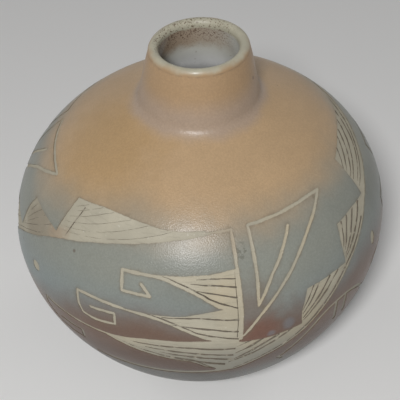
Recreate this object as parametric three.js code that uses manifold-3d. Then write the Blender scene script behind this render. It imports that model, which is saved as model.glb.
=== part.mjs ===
// Etched pottery vase: clay sections, sprayed colour coats scraped away in a
// stepped and hatched pattern, and a glazed inside. Millimetres, +Z up, with
// the origin at the centre of the foot and the front of the vase facing -Y.
import * as THREE from 'three'
import { TessellateModifier } from 'three/addons/modifiers/TessellateModifier.js'
import { mergeVertices } from 'three/addons/utils/BufferGeometryUtils.js'
import Module from 'manifold-3d'

const wasm = await Module()
wasm.setup()

// Outside of the finished vase
const totalHeight = 130.4
const bellyRadius = 70
const equatorHeight = 58
const domeRise = 52.2
const domePower = 1.95
const bowlDrop = 72
const bowlPower = 1.81
const neckRootHeight = 108
const neckRootRadius = 22.2
const neckTopRadius = 15.7
const neckFillet = 9
const crownLean = 3.2

// Thicknesses of the clay, the colour coat and the glaze
const baseThickness = 6
const wallThickness = 4.5
const lipThickness = 3.2
const coatThickness = 0.45
const glazeThickness = 0.4
const bondGap = 0.3

// Seams between the clay sections, and where the coat and the glaze stop
const neckSeamHeight = 104
const seamBevel = 2.5
const footMargin = 1.5
const lipMargin = 1.4
const glazeMargin = 0.8

// Pattern: three units laid out by eye, with heights in tiers from the equator
const tierRise = 12.5
const unitTurns = [0, 116, 242]
const lineWidth = 1.3
const coatSeamTier = 2.91
const groundTier = -1.62
const groundLineTier = -1.48
const groundLineStart = -52

// Fineness of the round forms
const segments = 42
const outerStep = 10
const innerStep = 14
const lipSteps = 6
const sweepSteps = 13
const panelStep = 10
const panelSplits = 12

const lerp = THREE.MathUtils.lerp
const smoothstep = THREE.MathUtils.smoothstep

// Finished radius at a height: a swelling body that flows into a tapered neck
function outsideRadius(height) {
  const rise = height - equatorHeight
  const [reach, power] = rise > 0 ? [domeRise, domePower] : [bowlDrop, bowlPower]
  const fall = Math.min(Math.abs(rise) / reach, 1)
  const body = bellyRadius * (1 - fall ** power) ** (1 / power)
  if (rise <= 0) return body
  const taper = (height - neckRootHeight) / (totalHeight - neckRootHeight)
  const neck = lerp(neckRootRadius, neckTopRadius, taper)
  const fillet = neckFillet * smoothstep(rise, 0, domeRise / 2)
  const excess = body - neck
  return neck + (excess + Math.hypot(excess, fillet)) / 2
}

// Slope of the outside, as change of radius for each millimetre of height
function outsideSlope(height) {
  const probe = 0.05
  return (outsideRadius(height + probe) - outsideRadius(height - probe)) / (2 * probe)
}

// Point under the outside at a depth, measured square to the surface
function pointUnder(height, depth) {
  const slope = outsideSlope(height)
  const reach = Math.hypot(1, slope)
  return new THREE.Vector2(outsideRadius(height) - depth / reach, height + (depth * slope) / reach)
}

// Height on the outside whose point under it lies at a level
function stationAtLevel(level, depth) {
  let height = level
  for (let turn = 0; turn < 12; turn += 1) height += level - pointUnder(height, depth).y
  return height
}

// Depths of the faces under the finished outside
const clayDepth = coatThickness + bondGap
const lipHeight = totalHeight - lipThickness / 2
const insideDepth = (height) => {
  const thinning = smoothstep(height, neckRootHeight, lipHeight)
  return clayDepth + lerp(wallThickness, lipThickness, thinning)
}
const glazeBackDepth = (height) => insideDepth(height) + bondGap
const glazeFaceDepth = (height) => glazeBackDepth(height) + glazeThickness

// Heights of the pattern and of the seams
const tierHeight = (tier) => equatorHeight + tier * tierRise
const coatSeamHeight = tierHeight(coatSeamTier)
const groundHeight = tierHeight(groundTier)
const lowSeamTier = groundTier + bondGap / tierRise
const panelTopTier = coatSeamTier - bondGap / tierRise
const coatTopHeight = lipHeight - lipMargin
const glazeTopHeight = lipHeight - glazeMargin

// Rows of the outer and of the inner faces, which all coats share
function rows(step, extra) {
  const heights = [...extra]
  let height = 0
  while (height < lipHeight) {
    const slope = outsideSlope(height)
    height += step / Math.hypot(1, slope)
    if (extra.every((other) => Math.abs(other - height) > step / 4)) heights.push(height)
  }
  return heights.filter((h) => h < lipHeight).sort((a, b) => a - b)
}
const outerRows = rows(outerStep, [
  groundHeight, equatorHeight, coatSeamHeight, neckSeamHeight, coatTopHeight,
])
const innerRows = rows(innerStep, [
  equatorHeight - seamBevel, neckSeamHeight - seamBevel, glazeTopHeight,
])

// Run of points at a depth between two heights, through the shared rows
function wallLine(shared, from, to, depth) {
  const margin = Math.abs(to - from) * 1e-3
  const lowest = Math.min(from, to) + margin
  const highest = Math.max(from, to) - margin
  const between = shared.filter((h) => h > lowest && h < highest)
  const ordered = from < to ? between : between.toReversed()
  const depthAt = typeof depth === 'function' ? depth : () => depth
  return [from, ...ordered, to].map((h) => pointUnder(h, depthAt(h)))
}

// Closed solid from a geometry, with its shared corners merged
function toSolid(geometry) {
  const bare = geometry.clone()
  bare.deleteAttribute('normal')
  bare.deleteAttribute('uv')
  const merged = mergeVertices(bare, 1e-4)
  const corners = Array.from(merged.index.array)
  const faces = []
  for (let i = 0; i < corners.length; i += 3) {
    const [a, b, c] = corners.slice(i, i + 3)
    if (a !== b && b !== c && c !== a) faces.push(a, b, c)
  }
  return new wasm.Manifold(new wasm.Mesh({
    numProp: 3,
    vertProperties: new Float32Array(merged.attributes.position.array),
    triVerts: new Uint32Array(faces),
  }))
}

// Solid of revolution about the upright axis
function turned(profile) {
  const geometry = new THREE.LatheGeometry(profile, segments)
  geometry.rotateX(Math.PI / 2)
  return toSolid(geometry)
}

// Wall between two depths, closed at both ends
function ring(outside, inside) {
  const profile = [...outside, ...inside]
  return turned([...profile, profile[0].clone()])
}

// The crown of the vase leans a little, so every solid is sheared alike
function leanAt(height) {
  return (crownLean * Math.max(height - equatorHeight, 0)) / (totalHeight - equatorHeight)
}

// Named mesh from a solid
function piece(name, solid, { color, roughness }) {
  const { vertProperties, triVerts } = solid.getMesh()
  const places = new Float32Array(vertProperties)
  for (let i = 0; i < places.length; i += 3) places[i] += leanAt(places[i + 2])
  const geometry = new THREE.BufferGeometry()
  geometry.setAttribute('position', new THREE.BufferAttribute(places, 3))
  geometry.setIndex(new THREE.BufferAttribute(new Uint32Array(triVerts), 1))
  geometry.computeVertexNormals()
  const material = new THREE.MeshStandardMaterial({ color, roughness, metalness: 0 })
  const mesh = new THREE.Mesh(geometry, material)
  mesh.name = name
  return mesh
}

// Unrolled wall: millimetres round the widest ring, and millimetres of height
const roundPerDegree = THREE.MathUtils.degToRad(bellyRadius)

// Flat plate of unit thickness from an outline in degrees and tiers
function plate(outline) {
  const shape = new THREE.Shape(
    outline.map(([angle, tier]) => new THREE.Vector2(angle * roundPerDegree, tier * tierRise)),
  )
  return toSolid(new THREE.ExtrudeGeometry(shape, { depth: 1, steps: 1, bevelEnabled: false }))
}

// Flat plate bent round the wall, where it becomes a coat of the coat's thickness
function bentRound(flat, turn) {
  const { vertProperties, triVerts } = flat.getMesh()
  const sheet = new THREE.BufferGeometry()
  sheet.setAttribute('position', new THREE.BufferAttribute(new Float32Array(vertProperties), 3))
  sheet.setIndex(new THREE.BufferAttribute(new Uint32Array(triVerts), 1))
  const fine = new TessellateModifier(panelStep, panelSplits).modify(sheet)
  const place = fine.attributes.position
  for (let i = 0; i < place.count; i += 1) {
    const angle = THREE.MathUtils.degToRad(place.getX(i) / roundPerDegree + turn)
    const depth = coatThickness * (1 - place.getZ(i))
    const wall = pointUnder(equatorHeight + place.getY(i), depth)
    place.setXYZ(i, wall.x * Math.sin(angle), -wall.x * Math.cos(angle), wall.y)
  }
  return toSolid(fine)
}

// Outline of a scraped line of one width along a run of points
function scrapedLine(points) {
  const left = []
  const right = []
  points.forEach(([angle, tier], i) => {
    const height = tierHeight(tier)
    const perDegree = THREE.MathUtils.degToRad(outsideRadius(height))
    const perTier = tierRise * Math.hypot(1, outsideSlope(height))
    const heading = (from, to) => new THREE.Vector2(
      (to[0] - from[0]) * perDegree,
      (to[1] - from[1]) * perTier,
    ).normalize()
    const before = heading(points[Math.max(i - 1, 0)], points[Math.max(i, 1)])
    const last = points.length - 1
    const after = heading(points[Math.min(i, last - 1)], points[Math.min(i + 1, last)])
    const along = before.clone().add(after).normalize()
    const mitre = lineWidth / 2 / along.dot(before)
    const across = [(-along.y * mitre) / perDegree, (along.x * mitre) / perTier]
    left.push([angle + across[0], tier + across[1]])
    right.unshift([angle - across[0], tier - across[1]])
  })
  return [...left, ...right]
}

// Evenly spaced points on a smooth run
function smooth(points, steps) {
  const curve = new THREE.SplineCurve(points.map(([angle, tier]) => new THREE.Vector2(angle, tier)))
  return curve.getPoints(steps).map((p) => [p.x, p.y])
}

const shifted = (points, turn) => points.map(([angle, tier]) => [angle + turn, tier])

// Long sweep that carries the steps, up from the low corner to the next unit
const sweep = smooth([
  [8, -1.56], [16, -1.11], [29, -0.34], [40, 0.44], [54, 1.26],
  [67, 1.87], [80, 2.23], [95, 2.5], [110, 2.72],
], sweepSteps)

// Coat left standing above the steps, to the right of the upright line
const upperPanel = [
  [10.1, panelTopTier], [10.1, -0.05], [27.2, -0.16], [26.9, 0.32], [29.3, 1.03],
  [44.3, 1], [44.4, 1.28], [46.3, 2.03], [63.9, 2.01], [64, panelTopTier],
]

// Edges of the three hatched wedges that run into the upright line, from below
const wedgeEdges = [
  [1.5, groundLineTier], [-0.6, -1.3], [-4.5, -0.96], [-13, -0.73], [-20, -0.54], [-29.5, -0.2],
  [-29.5, -0.04], [-20, 0.08], [-10, 0.18], [1, 0.19],
  [-5.5, 0.45], [-10.3, 0.65], [-18, 0.83], [-27, 0.91],
  [-27, 1.04], [5, 1.06],
  [0, 1.34], [-5, 1.57], [-12, 1.81], [-17.6, 1.87],
  [-17.6, 2], [8.5, 2.11], [8.5, 2.74],
]

// Lines scraped through the coat: the hooked tails of the wedges
const wedgeHooks = [
  [
    [-17, 1.935], [-26.2, 1.93], [-25, 1.45], [-16.4, 1.43], [-20, 1.7],
  ],
  [
    [-26, 0.975], [-39.6, 0.98], [-38.4, 0.56], [-36.9, 0.34],
    [-26.2, 0.37], [-26.7, 0.73], [-34.5, 0.66],
  ],
  [
    [-28.5, -0.12], [-53.6, -0.14], [-54, -0.4], [-50, -0.98],
    [-39.5, -1.01], [-38.8, -0.56], [-47.6, -0.61],
  ],
]

// Fret in the upper panel, which rises from the foot of the upright line
const fret = [
  ...smooth([[10.6, 0.22], [18.6, 1.09], [28.1, 1.84], [37.6, 2.42], [47.8, 2.8]], 6),
  [15.2, 2.8], [14.5, 1.1], [29.5, 2.56],
]

// Arch in the lower panel
const arch = smooth([
  [21.5, -1.5], [28.1, -0.94], [33.8, -0.37], [43, -0.1], [51, -0.4], [57.5, -1],
], 8)

// Round spot in the lower panel, as tall as it is wide
const spotCentre = [61.7, 0.66]
const spotRadius = 2.2
const spot = new THREE.Path().absarc(0, 0, spotRadius, 0, 2 * Math.PI).getPoints(2)
  .slice(0, -1)
  .map((p) => [
    spotCentre[0] + THREE.MathUtils.radToDeg(p.x / outsideRadius(tierHeight(spotCentre[1]))),
    spotCentre[1] + p.y / tierRise,
  ])

// Coat all the way round, between two heights
function coatRing(from, to) {
  const outside = wallLine(outerRows, from, to, 0)
  const inside = wallLine(outerRows, to, from, coatThickness)
  return ring(outside, inside)
}

const fired = { color: '#d3c9ae', roughness: 0.85 }
const tan = { color: '#ab9272', roughness: 0.42 }
const green = { color: '#8d938a', roughness: 0.42 }
const brown = { color: '#7c6358', roughness: 0.42 }
const grey = { color: '#5c5a57', roughness: 0.45 }
const glass = { color: '#93928c', roughness: 0.2 }

// Clay slab with a flat foot, which carries the bowl on its rim
function baseSlab() {
  const foot = stationAtLevel(0, clayDepth)
  const rim = stationAtLevel(baseThickness, clayDepth)
  const edge = wallLine(outerRows, foot, rim, clayDepth)
  const profile = [new THREE.Vector2(0, 0), ...edge, new THREE.Vector2(0, baseThickness)]
  return piece('base_slab', turned(profile), fired)
}

// Clay wall from the slab to the widest ring
function lowerBowl() {
  const level = baseThickness + bondGap
  const outside = wallLine(outerRows, stationAtLevel(level, clayDepth), equatorHeight, clayDepth)
  const insideFoot = stationAtLevel(level, insideDepth(0))
  const inside = wallLine(innerRows, equatorHeight - seamBevel, insideFoot, insideDepth)
  return piece('lower_bowl', ring(outside, inside), fired)
}

// Clay dome from the widest ring to the root of the neck
function upperDome() {
  const outside = wallLine(outerRows, equatorHeight + bondGap, neckSeamHeight, clayDepth)
  const inside = wallLine(
    innerRows, neckSeamHeight - seamBevel, equatorHeight - seamBevel + bondGap, insideDepth,
  )
  return piece('upper_dome', ring(outside, inside), fired)
}

// Clay collar with a half-round lip
function neckCollar() {
  const outside = wallLine(outerRows, neckSeamHeight + bondGap, lipHeight, clayDepth)
  const inside = wallLine(
    innerRows, lipHeight, neckSeamHeight - seamBevel + bondGap, insideDepth,
  )
  const [outerEdge, innerEdge] = [outside.pop(), inside.shift()]
  const lipCentre = outerEdge.clone().add(innerEdge).divideScalar(2)
  const lipRadius = (outerEdge.x - innerEdge.x) / 2
  const lipRise = totalHeight - lipCentre.y
  const lip = Array.from({ length: lipSteps + 1 }, (_, i) => {
    const angle = (Math.PI * i) / lipSteps
    return new THREE.Vector2(
      lipCentre.x + lipRadius * Math.cos(angle),
      lipCentre.y + lipRise * Math.sin(angle),
    )
  })
  return piece('neck_collar', ring([...outside, ...lip], inside), fired)
}

// Glaze poured inside, over the floor, the wall and the throat
function innerGlaze() {
  const backFloor = baseThickness + bondGap
  const faceFloor = backFloor + glazeThickness
  const back = wallLine(
    innerRows, stationAtLevel(backFloor, glazeBackDepth(0)), glazeTopHeight, glazeBackDepth,
  )
  const face = wallLine(
    innerRows, glazeTopHeight, stationAtLevel(faceFloor, glazeFaceDepth(0)), glazeFaceDepth,
  )
  const backCentre = new THREE.Vector2(0, backFloor)
  const faceCentre = new THREE.Vector2(0, faceFloor)
  return piece('inner_glaze', turned([backCentre, ...back, ...face, faceCentre]), glass)
}

// Coats that go all the way round
const shoulderCoat = () => piece('shoulder_coat', coatRing(coatSeamHeight, coatTopHeight), tan)
const footCoat = () => piece('foot_coat', coatRing(footMargin, groundHeight), grey)

// Coat panel above the steps of one unit, with its fret scraped through
function upperCoatPanel(turn, number) {
  const flat = plate(upperPanel).subtract(plate(scrapedLine(fret)))
  return piece(`upper_coat_panel_${number}`, bentRound(flat, turn), green)
}

// Coat panel between the sweep of the unit before and the wedges of this one
function lowerCoatPanel(turn, turnBefore, number) {
  const step = turnBefore - turn
  const sweepBefore = shifted(sweep, step)
  const outline = [
    ...sweepBefore,
    ...wedgeEdges.toReversed(),
    [groundLineStart, groundLineTier],
    [groundLineStart, lowSeamTier],
    [sweepBefore[0][0], lowSeamTier],
  ]
  const figures = [...wedgeHooks, shifted(arch, step)].map(scrapedLine)
  figures.push(shifted(spot, step))
  const flat = figures.reduce((rest, figure) => rest.subtract(plate(figure)), plate(outline))
  return piece(`lower_coat_panel_${number}`, bentRound(flat, turn), brown)
}

const clayBody = new THREE.Group()
clayBody.add(baseSlab(), lowerBowl(), upperDome(), neckCollar())

const coats = new THREE.Group()
coats.add(shoulderCoat(), footCoat())
unitTurns.forEach((turn, i) => {
  const last = unitTurns.length - 1
  const turnBefore = i === 0 ? unitTurns[last] - 360 : unitTurns[i - 1]
  coats.add(upperCoatPanel(turn, i + 1), lowerCoatPanel(turn, turnBefore, i + 1))
})

const group = new THREE.Group()
group.add(clayBody, coats, innerGlaze())

export default group
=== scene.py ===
"""Etched pottery vase: clay sections, sprayed coats scraped through in a stepped and
hatched pattern, ridges left between the scrapes, a glaze inside, and a studio stage."""

import math
from functools import cache
from types import SimpleNamespace

import bmesh
import bpy
import numpy as np
from bpy.props import FloatProperty, FloatVectorProperty, IntProperty, PointerProperty
from mathutils import Matrix, Vector, geometry, kdtree, noise


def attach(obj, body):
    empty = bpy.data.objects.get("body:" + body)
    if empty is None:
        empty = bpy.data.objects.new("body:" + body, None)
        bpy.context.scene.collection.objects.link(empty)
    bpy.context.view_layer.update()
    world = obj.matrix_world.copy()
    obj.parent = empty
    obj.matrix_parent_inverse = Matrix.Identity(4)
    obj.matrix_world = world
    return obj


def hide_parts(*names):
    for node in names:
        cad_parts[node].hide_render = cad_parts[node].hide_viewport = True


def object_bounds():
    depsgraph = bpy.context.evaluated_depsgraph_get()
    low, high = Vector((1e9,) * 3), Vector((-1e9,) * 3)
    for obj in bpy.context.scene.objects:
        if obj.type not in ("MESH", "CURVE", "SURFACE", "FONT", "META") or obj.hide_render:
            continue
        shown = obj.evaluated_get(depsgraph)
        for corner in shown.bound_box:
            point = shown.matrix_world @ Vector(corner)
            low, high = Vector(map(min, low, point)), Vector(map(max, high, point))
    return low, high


bl_info = {
    "name": "Etched Pottery Vase",
    "version": (1, 0, 0),
    "blender": (4, 5, 0),
    "location": "3D View > Sidebar > Vase",
    "description": "Builds a pottery vase with sprayed coats and a scraped pattern",
    "category": "Add Mesh",
}

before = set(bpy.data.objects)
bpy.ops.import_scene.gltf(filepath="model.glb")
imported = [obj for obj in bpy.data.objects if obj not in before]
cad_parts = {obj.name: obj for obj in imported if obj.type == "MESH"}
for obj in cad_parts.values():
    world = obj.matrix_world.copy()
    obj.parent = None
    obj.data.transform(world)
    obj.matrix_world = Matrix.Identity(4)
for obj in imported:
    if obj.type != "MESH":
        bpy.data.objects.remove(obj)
CAD_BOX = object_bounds()
CAD_SIZE = CAD_BOX[1] - CAD_BOX[0]

MM = 0.001
BACKDROP = (0.48, 0.475, 0.465)
BLACK = (0.0, 0.0, 0.0)

# Lengths in millimetres and turns in degrees from here on.
# Samples up the outside, tries to find a place on it, and how far inside the widest ring
# the flat layout is true to size
SECTION_SAMPLES, STATION_TRIES, LAYOUT_INSET = 2609, 14, 5
# Room for the coat and the hand's hollows between the smooth outside and the clay wall
WALL_ROOM = 0.75
# Steps along a scraped edge, between points of the coat and between points of scraped clay,
# and how far those points stay from every edge
EDGE_STEP = 0.7
COAT_STEP, COAT_GAP = 1.7, 0.65
CLAY_STEP, CLAY_GAP = 0.52, 0.24
# Steps along the hatching and along an edge that it follows, and unevenness of its ends
HATCH_STEP, FOLLOW_STEP, HATCH_SHIFT = 0.5, 0.25, 0.02
# Points in a ring inside the clay, and rings in a wall and in a neck
RING_POINTS, WALL_RINGS, NECK_RINGS = 180, 24, 14

# Pattern of one unit, as turns from its front and heights. Each field is a loop of smooth
# edges, and each figure a set of smooth strokes.
UNIT_TURNS = (-119, 0, 116)
# How far the top of each unit was drawn below the middle one's, and how strongly its
# steps were hatched
UNIT_DROPS = {-119: 1.5, 0: 0, 116: 0.8}
UNIT_HATCH = {-119: 0.24, 0: 1, 116: 0.9}
# Heights between which everything scraped lies
PATTERN_HEIGHTS = (35, 96)

WEDGES = {
    "top": {
        "low": [(-17.6, 81.8), (-12.9, 81.1), (-8.1, 79.5), (-3.3, 77.1), (0, 75), (3.8, 72.2),
                (9.3, 71.3)],
        "high": [(-17.6, 82.2), (-12.9, 82.6), (0, 83), (9.3, 83.8)],
        "side": [(9.3, 83.8), (9.3, 71.3)],
    },
    "middle": {
        "low": [(-27, 69.8), (-20, 69.1), (-15.2, 68.3), (-10.3, 66.6), (-5.5, 63.8), (0.8, 60),
                (9.3, 58.6)],
        "high": [(-27, 70.3), (-10, 70.1), (-3, 71), (3.8, 72.1), (9.3, 71.7)],
        "side": [(9.3, 71.7), (9.3, 58.6)],
    },
    "bottom": {
        "low": [(-29.5, 55.8), (-24.8, 53.7), (-20, 51.8), (-12.9, 49.5), (-7, 48), (-4, 46.5),
                (-1, 43.4), (2, 41)],
        "high": [(-29.5, 57.1), (-22.4, 58.2), (-17.6, 59.4), (-10.5, 59.9), (0.8, 59.9), (8.3, 58.9)],
        "side": [(8.3, 58.9), (6.6, 46.3), (2, 41)],
    },
}

SWEEP = [
    (7.9, 38.4), (16.2, 43.8), (24, 48.6), (30, 53.3), (37, 60.3), (45.5, 68), (54.3, 73.9),
    (64.2, 80), (76.5, 84.8), (86.5, 87.5), (96, 89.2), (106, 90.7), (119, 92.1),
]
STEPS = [
    [(119, 93.2), (106, 93.1), (94, 94), (80, 94.7), (65.5, 93.9)],
    [(65.5, 93.9), (64.7, 88), (64.3, 82.4)],
    [(64.3, 82.4), (55, 83.1), (46.7, 83)],
    [(46.7, 83), (45.4, 78), (44.9, 70.6)],
    [(44.9, 70.6), (37, 70.7), (29.6, 70.7)],
    [(29.6, 70.7), (27.4, 63), (27.5, 56.8)],
    [(27.5, 56.8), (18, 56.6), (9.6, 57.5)],
    [(9.6, 57.5), (8.2, 57.2), (6.8, 47), (2.2, 41.4)],
    [(2.2, 41.4), (1.5, 39.6), (3, 38.4), (7.9, 38.4)],
]

FIGURES = {
    "base line": [[(9, 92.9), (9.2, 84), (9.5, 72), (9.2, 59)]],
    "foot of the base line": [[(9.3, 59.4), (8.1, 57.6), (6.6, 46.3), (2.2, 41.6)]],
    "ground line": [[(-37, 37.2), (-20, 37.9), (-5, 38.6), (5, 39)]],
    "hook of the top wedge": [
        [(-12, 82), (-19, 82.1), (-26.2, 82.1)], [(-26.2, 82.1), (-25.6, 79), (-25.2, 76.2)],
        [(-25.2, 76.2), (-16.4, 75.9)], [(-16.4, 75.9), (-19.6, 79.4)],
    ],
    "hook of the middle wedge": [
        [(-24, 70), (-32, 70.3), (-39.6, 70.2)], [(-39.6, 70.2), (-38.7, 65.8), (-36.9, 62.4)],
        [(-36.9, 62.4), (-32.9, 61.8), (-26.2, 62.8)], [(-26.2, 62.8), (-26.6, 67.1)],
        [(-26.6, 67.1), (-34.5, 66.2)],
    ],
    "hook of the bottom wedge": [
        [(-27, 56.6), (-40, 56.2), (-53.5, 56.2)], [(-53.5, 56.2), (-53.6, 52), (-50, 46)],
        [(-50, 46), (-45, 45.3), (-39.5, 45.3)], [(-39.5, 45.3), (-38.9, 50.9)],
        [(-38.9, 50.9), (-47.6, 50.3)],
    ],
    "fret": [
        [(9.9, 60.4), (14.8, 67.4), (23.3, 76.6), (32.9, 85), (40, 89.2), (47.8, 93)],
        [(47.8, 93), (38, 93.3), (15.2, 93)], [(15.2, 93), (15, 82), (14.4, 71.2)],
        [(14.4, 71.2), (19.5, 79.5), (23.3, 83.7), (29.3, 90)],
    ],
    "arch": [
        [(21.6, 38.2), (28.1, 46.3), (33.8, 53.2), (37.6, 55.8), (41.4, 56.6), (45.2, 56.3),
         (49, 54.7), (52.9, 51.6), (56.2, 47.4), (61.5, 39.5)],
        [(23.3, 35.6), (21.6, 38.4)],
        [(40.7, 55.4), (41, 50), (41.9, 44.7)], [(44.8, 55.4), (45.2, 50), (46.2, 44.7)],
    ],
}
# Widths of the lines, over the width of a plain one
LINE_WIDTHS = {"ground line": 1.8, "hook of the bottom wedge": 0.95, "arch": 1.35}
TOP_LINE_WIDTH = 0.8
# Spots: turn, height, and half the width and height of each
SPOTS = {-119: (60, 65.6, 2.5, 1.7), 0: (61.2, 66.6, 1.7, 2.9), 116: (61, 66, 2.1, 2.3)}

# Hatching of the wedges, as rays from the tip: the share of the way at which each starts
# to show, the share of the side at which it ends, and its size. Then how far short of the
# side the rays end, over the width of a line.
WEDGE_RAYS = {
    "top": [(0.55, 0.22, 0.75), (0.48, 0.45, 1.05), (0.56, 0.7, 1)],
    "middle": [(0.4, 0.34, 1.15), (0.46, 0.7, 1.3)],
    "bottom": [(0.22, 0.25, 1.15), (0.32, 0.42, 1.15), (0.44, 0.6, 1.3), (0.56, 0.8, 1.35)],
}
RAY_GAPS = {"top": 0.7, "middle": 0.7, "bottom": 0.1}
# Hatching of the steps, from the top one down: the share of the side at which each ridge
# starts and of the top at which it ends, both counted from the corner, and its size
STEP_RIDGES = [
    [(0.3, 0.14, 0.75), (0.44, 0.24, 0.85), (0.58, 0.35, 0.9), (0.7, 0.48, 0.95), (0.82, 0.63, 0.9),
     (0.92, 0.82, 0.85)],
    [(0.84, 0.15, 0.85), (0.89, 0.34, 1.05), (0.93, 0.55, 1.15), (0.96, 0.8, 1.2)],
    [(0.6, 0.16, 0.85), (0.75, 0.32, 1.15), (0.88, 0.6, 1.25), (0.96, 0.8, 1.15)],
    [(0.2, 0.14, 1.1), (0.42, 0.36, 1.3), (0.6, 0.62, 1.4), (0.78, 0.85, 1.3)],
]
# Ridge beside the base line, and one inside the side of the first unit's top step
BASE_LINE_RIDGE = [(8.3, 83.5), (8.4, 72), (8.2, 60)]
TOP_STEP_RIDGE = [(68.7, 83.2), (69.7, 88), (70.8, 92.8)]


def a_length(name, description, metres):
    """Setting that holds a length."""
    return FloatProperty(name=name, description=description, default=metres, unit="LENGTH")


def an_angle(name, description, degrees):
    """Setting that holds an angle."""
    return FloatProperty(name=name, description=description, default=math.radians(degrees), subtype="ANGLE")


def a_number(name, description, value):
    """Setting that holds a plain number."""
    return FloatProperty(name=name, description=description, default=value)


def a_colour(name, description, value):
    """Setting that holds a colour."""
    return FloatVectorProperty(name=name, description=description, default=value, size=3, subtype="COLOR")


class VaseSizes(bpy.types.PropertyGroup):
    """Sizes of the vase's outside and of its walls"""

    height: a_length("Height", "From the foot to the top of the lip", CAD_SIZE.z)
    belly_radius: a_length(
        "Belly radius", "Radius at the widest ring", min(CAD_SIZE.x, CAD_SIZE.y) / 2 - 0.02 * MM)
    equator_height: a_length("Widest at", "Height of the widest ring", 0.058)
    dome_rise: a_length("Dome rise", "Height at which the dome would close over the widest ring", 0.0522)
    dome_power: a_number("Dome fullness", "Higher is squarer in the shoulder", 1.95)
    bowl_drop: a_length("Bowl drop", "Depth at which the bowl would close under the widest ring", 0.072)
    bowl_power: a_number("Bowl fullness", "Higher is squarer below the belly", 1.81)
    neck_root_height: a_length(
        "Neck root height", "Height at which the neck's taper is measured first", 0.108)
    neck_root_radius: a_length("Neck root radius", "Radius of the neck at its root", 0.0214)
    neck_top_radius: a_length("Neck top radius", "Radius of the neck at its top", 0.0162)
    neck_fillet: a_length("Neck fillet", "Softness of the turn from the dome into the neck", 0.008)
    crown_lean: a_length("Crown lean", "Sideways lean of the lip", 0.0034)
    wall: a_length("Wall", "Thickness of the clay wall", 0.0045)
    lip_wall: a_length("Lip", "Thickness of the clay at the lip", 0.0032)
    base: a_length("Base", "Thickness of the base slab", 0.006)
    neck_seam: a_length("Neck seam", "Height at which the neck is joined to the dome", 0.104)
    seam_bevel: a_length("Seam bevel", "How far a seam drops from the outside to the inside", 0.0025)


class PatternSettings(bpy.types.PropertyGroup):
    """Sizes of the coats and of the pattern scraped through them"""

    coat: a_length("Coat", "Thickness of the coat, with the layer it takes with it", 0.00022)
    edge_drop: a_length("Edge drop", "How far the rim of the coat is worn down", 0.00003)
    carving: a_length("Carving", "Depth of the scraped clay under the coat", 0.0001)
    line: a_length("Line", "Width of a scraped line", 0.00125)
    wander: a_length("Wander", "Unevenness of a scraped edge", 0.00011)
    ridge: a_length("Ridge", "Half the width of a ridge left between scrapes", 0.00025)
    coat_top: a_length("Coat top", "Height where the coat ends at the lip", 0.1286)
    lip_wear: a_length("Lip wear", "How far below its end the coat starts to thin out", 0.003)
    coat_foot: a_length("Coat foot", "Height where the coat stops above the foot", 0.0016)
    seed: IntProperty(name="Seed", description="Seed of the hand's unevenness", default=7)


class VaseColours(bpy.types.PropertyGroup):
    """Colours of the coats, the clay, the glaze and the stage"""

    tan: a_colour("Tan", "Coat on the neck and the shoulder", (0.5, 0.345, 0.2))
    green: a_colour("Green grey", "Coat round the upper belly", (0.262, 0.27, 0.235))
    brown: a_colour("Brown", "Coat round the lower belly", (0.158, 0.098, 0.07))
    grey: a_colour("Grey", "Coat above the foot", (0.075, 0.071, 0.061))
    rust: a_colour("Rust", "Warm patch beside the foot of the base line", (0.185, 0.084, 0.055))
    clay: a_colour("Clay", "Scraped clay", (0.485, 0.447, 0.35))
    worn_lip: a_colour("Worn lip", "Clay of the lip", (0.47, 0.445, 0.345))
    ridge: a_colour("Ridge", "Coat left between two scrapes", (0.125, 0.105, 0.078))
    glaze: a_colour("Glaze", "Glaze inside", (0.56, 0.56, 0.55))
    floor: a_colour("Floor", "Floor of the stage", (0.66, 0.655, 0.645))


class StageSettings(bpy.types.PropertyGroup):
    """Camera and light"""

    distance: a_length("Camera distance", "From the middle of the belly", 0.35)
    elevation: an_angle("Elevation", "Height of the camera, as an angle", 42.92)
    tilt: an_angle("Tilt", "How far the camera looks down", 42.79)
    roll: an_angle("Roll", "Turn of the camera about its own line of sight", -3.6)
    lens: a_number("Lens", "Focal length in millimetres", 81.33)
    shift: a_number("Shift", "Sideways shift of the lens", 0.0035)
    key_power: a_number("Key", "Power of the main lamp in watts", 2.95)
    fill_power: a_number("Fill", "Power of each side lamp in watts", 2.4)
    sky: a_number("Sky", "Strength of the light all round", 0.12)


def own_settings(group):
    """Name and definition of each setting that a group has of its own."""
    return [(key, prop) for key, prop in group.bl_rna.properties.items() if key not in ("rna_type", "name")]


def settings(name):
    """The settings of a group as plain values, with lengths in millimetres."""
    group = getattr(bpy.context.scene, name)
    values = SimpleNamespace()
    for key, prop in own_settings(group):
        value = getattr(group, key)
        if prop.unit == "LENGTH":
            value /= MM
        elif prop.subtype == "COLOR":
            value = tuple(value)
        setattr(values, key, value)
    return values


def eased(values, low, high):
    """Smooth step from 0 at one value to 1 at another."""
    share = np.clip((values - low) / (high - low), 0, 1)
    return share * share * (3 - 2 * share)


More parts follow.
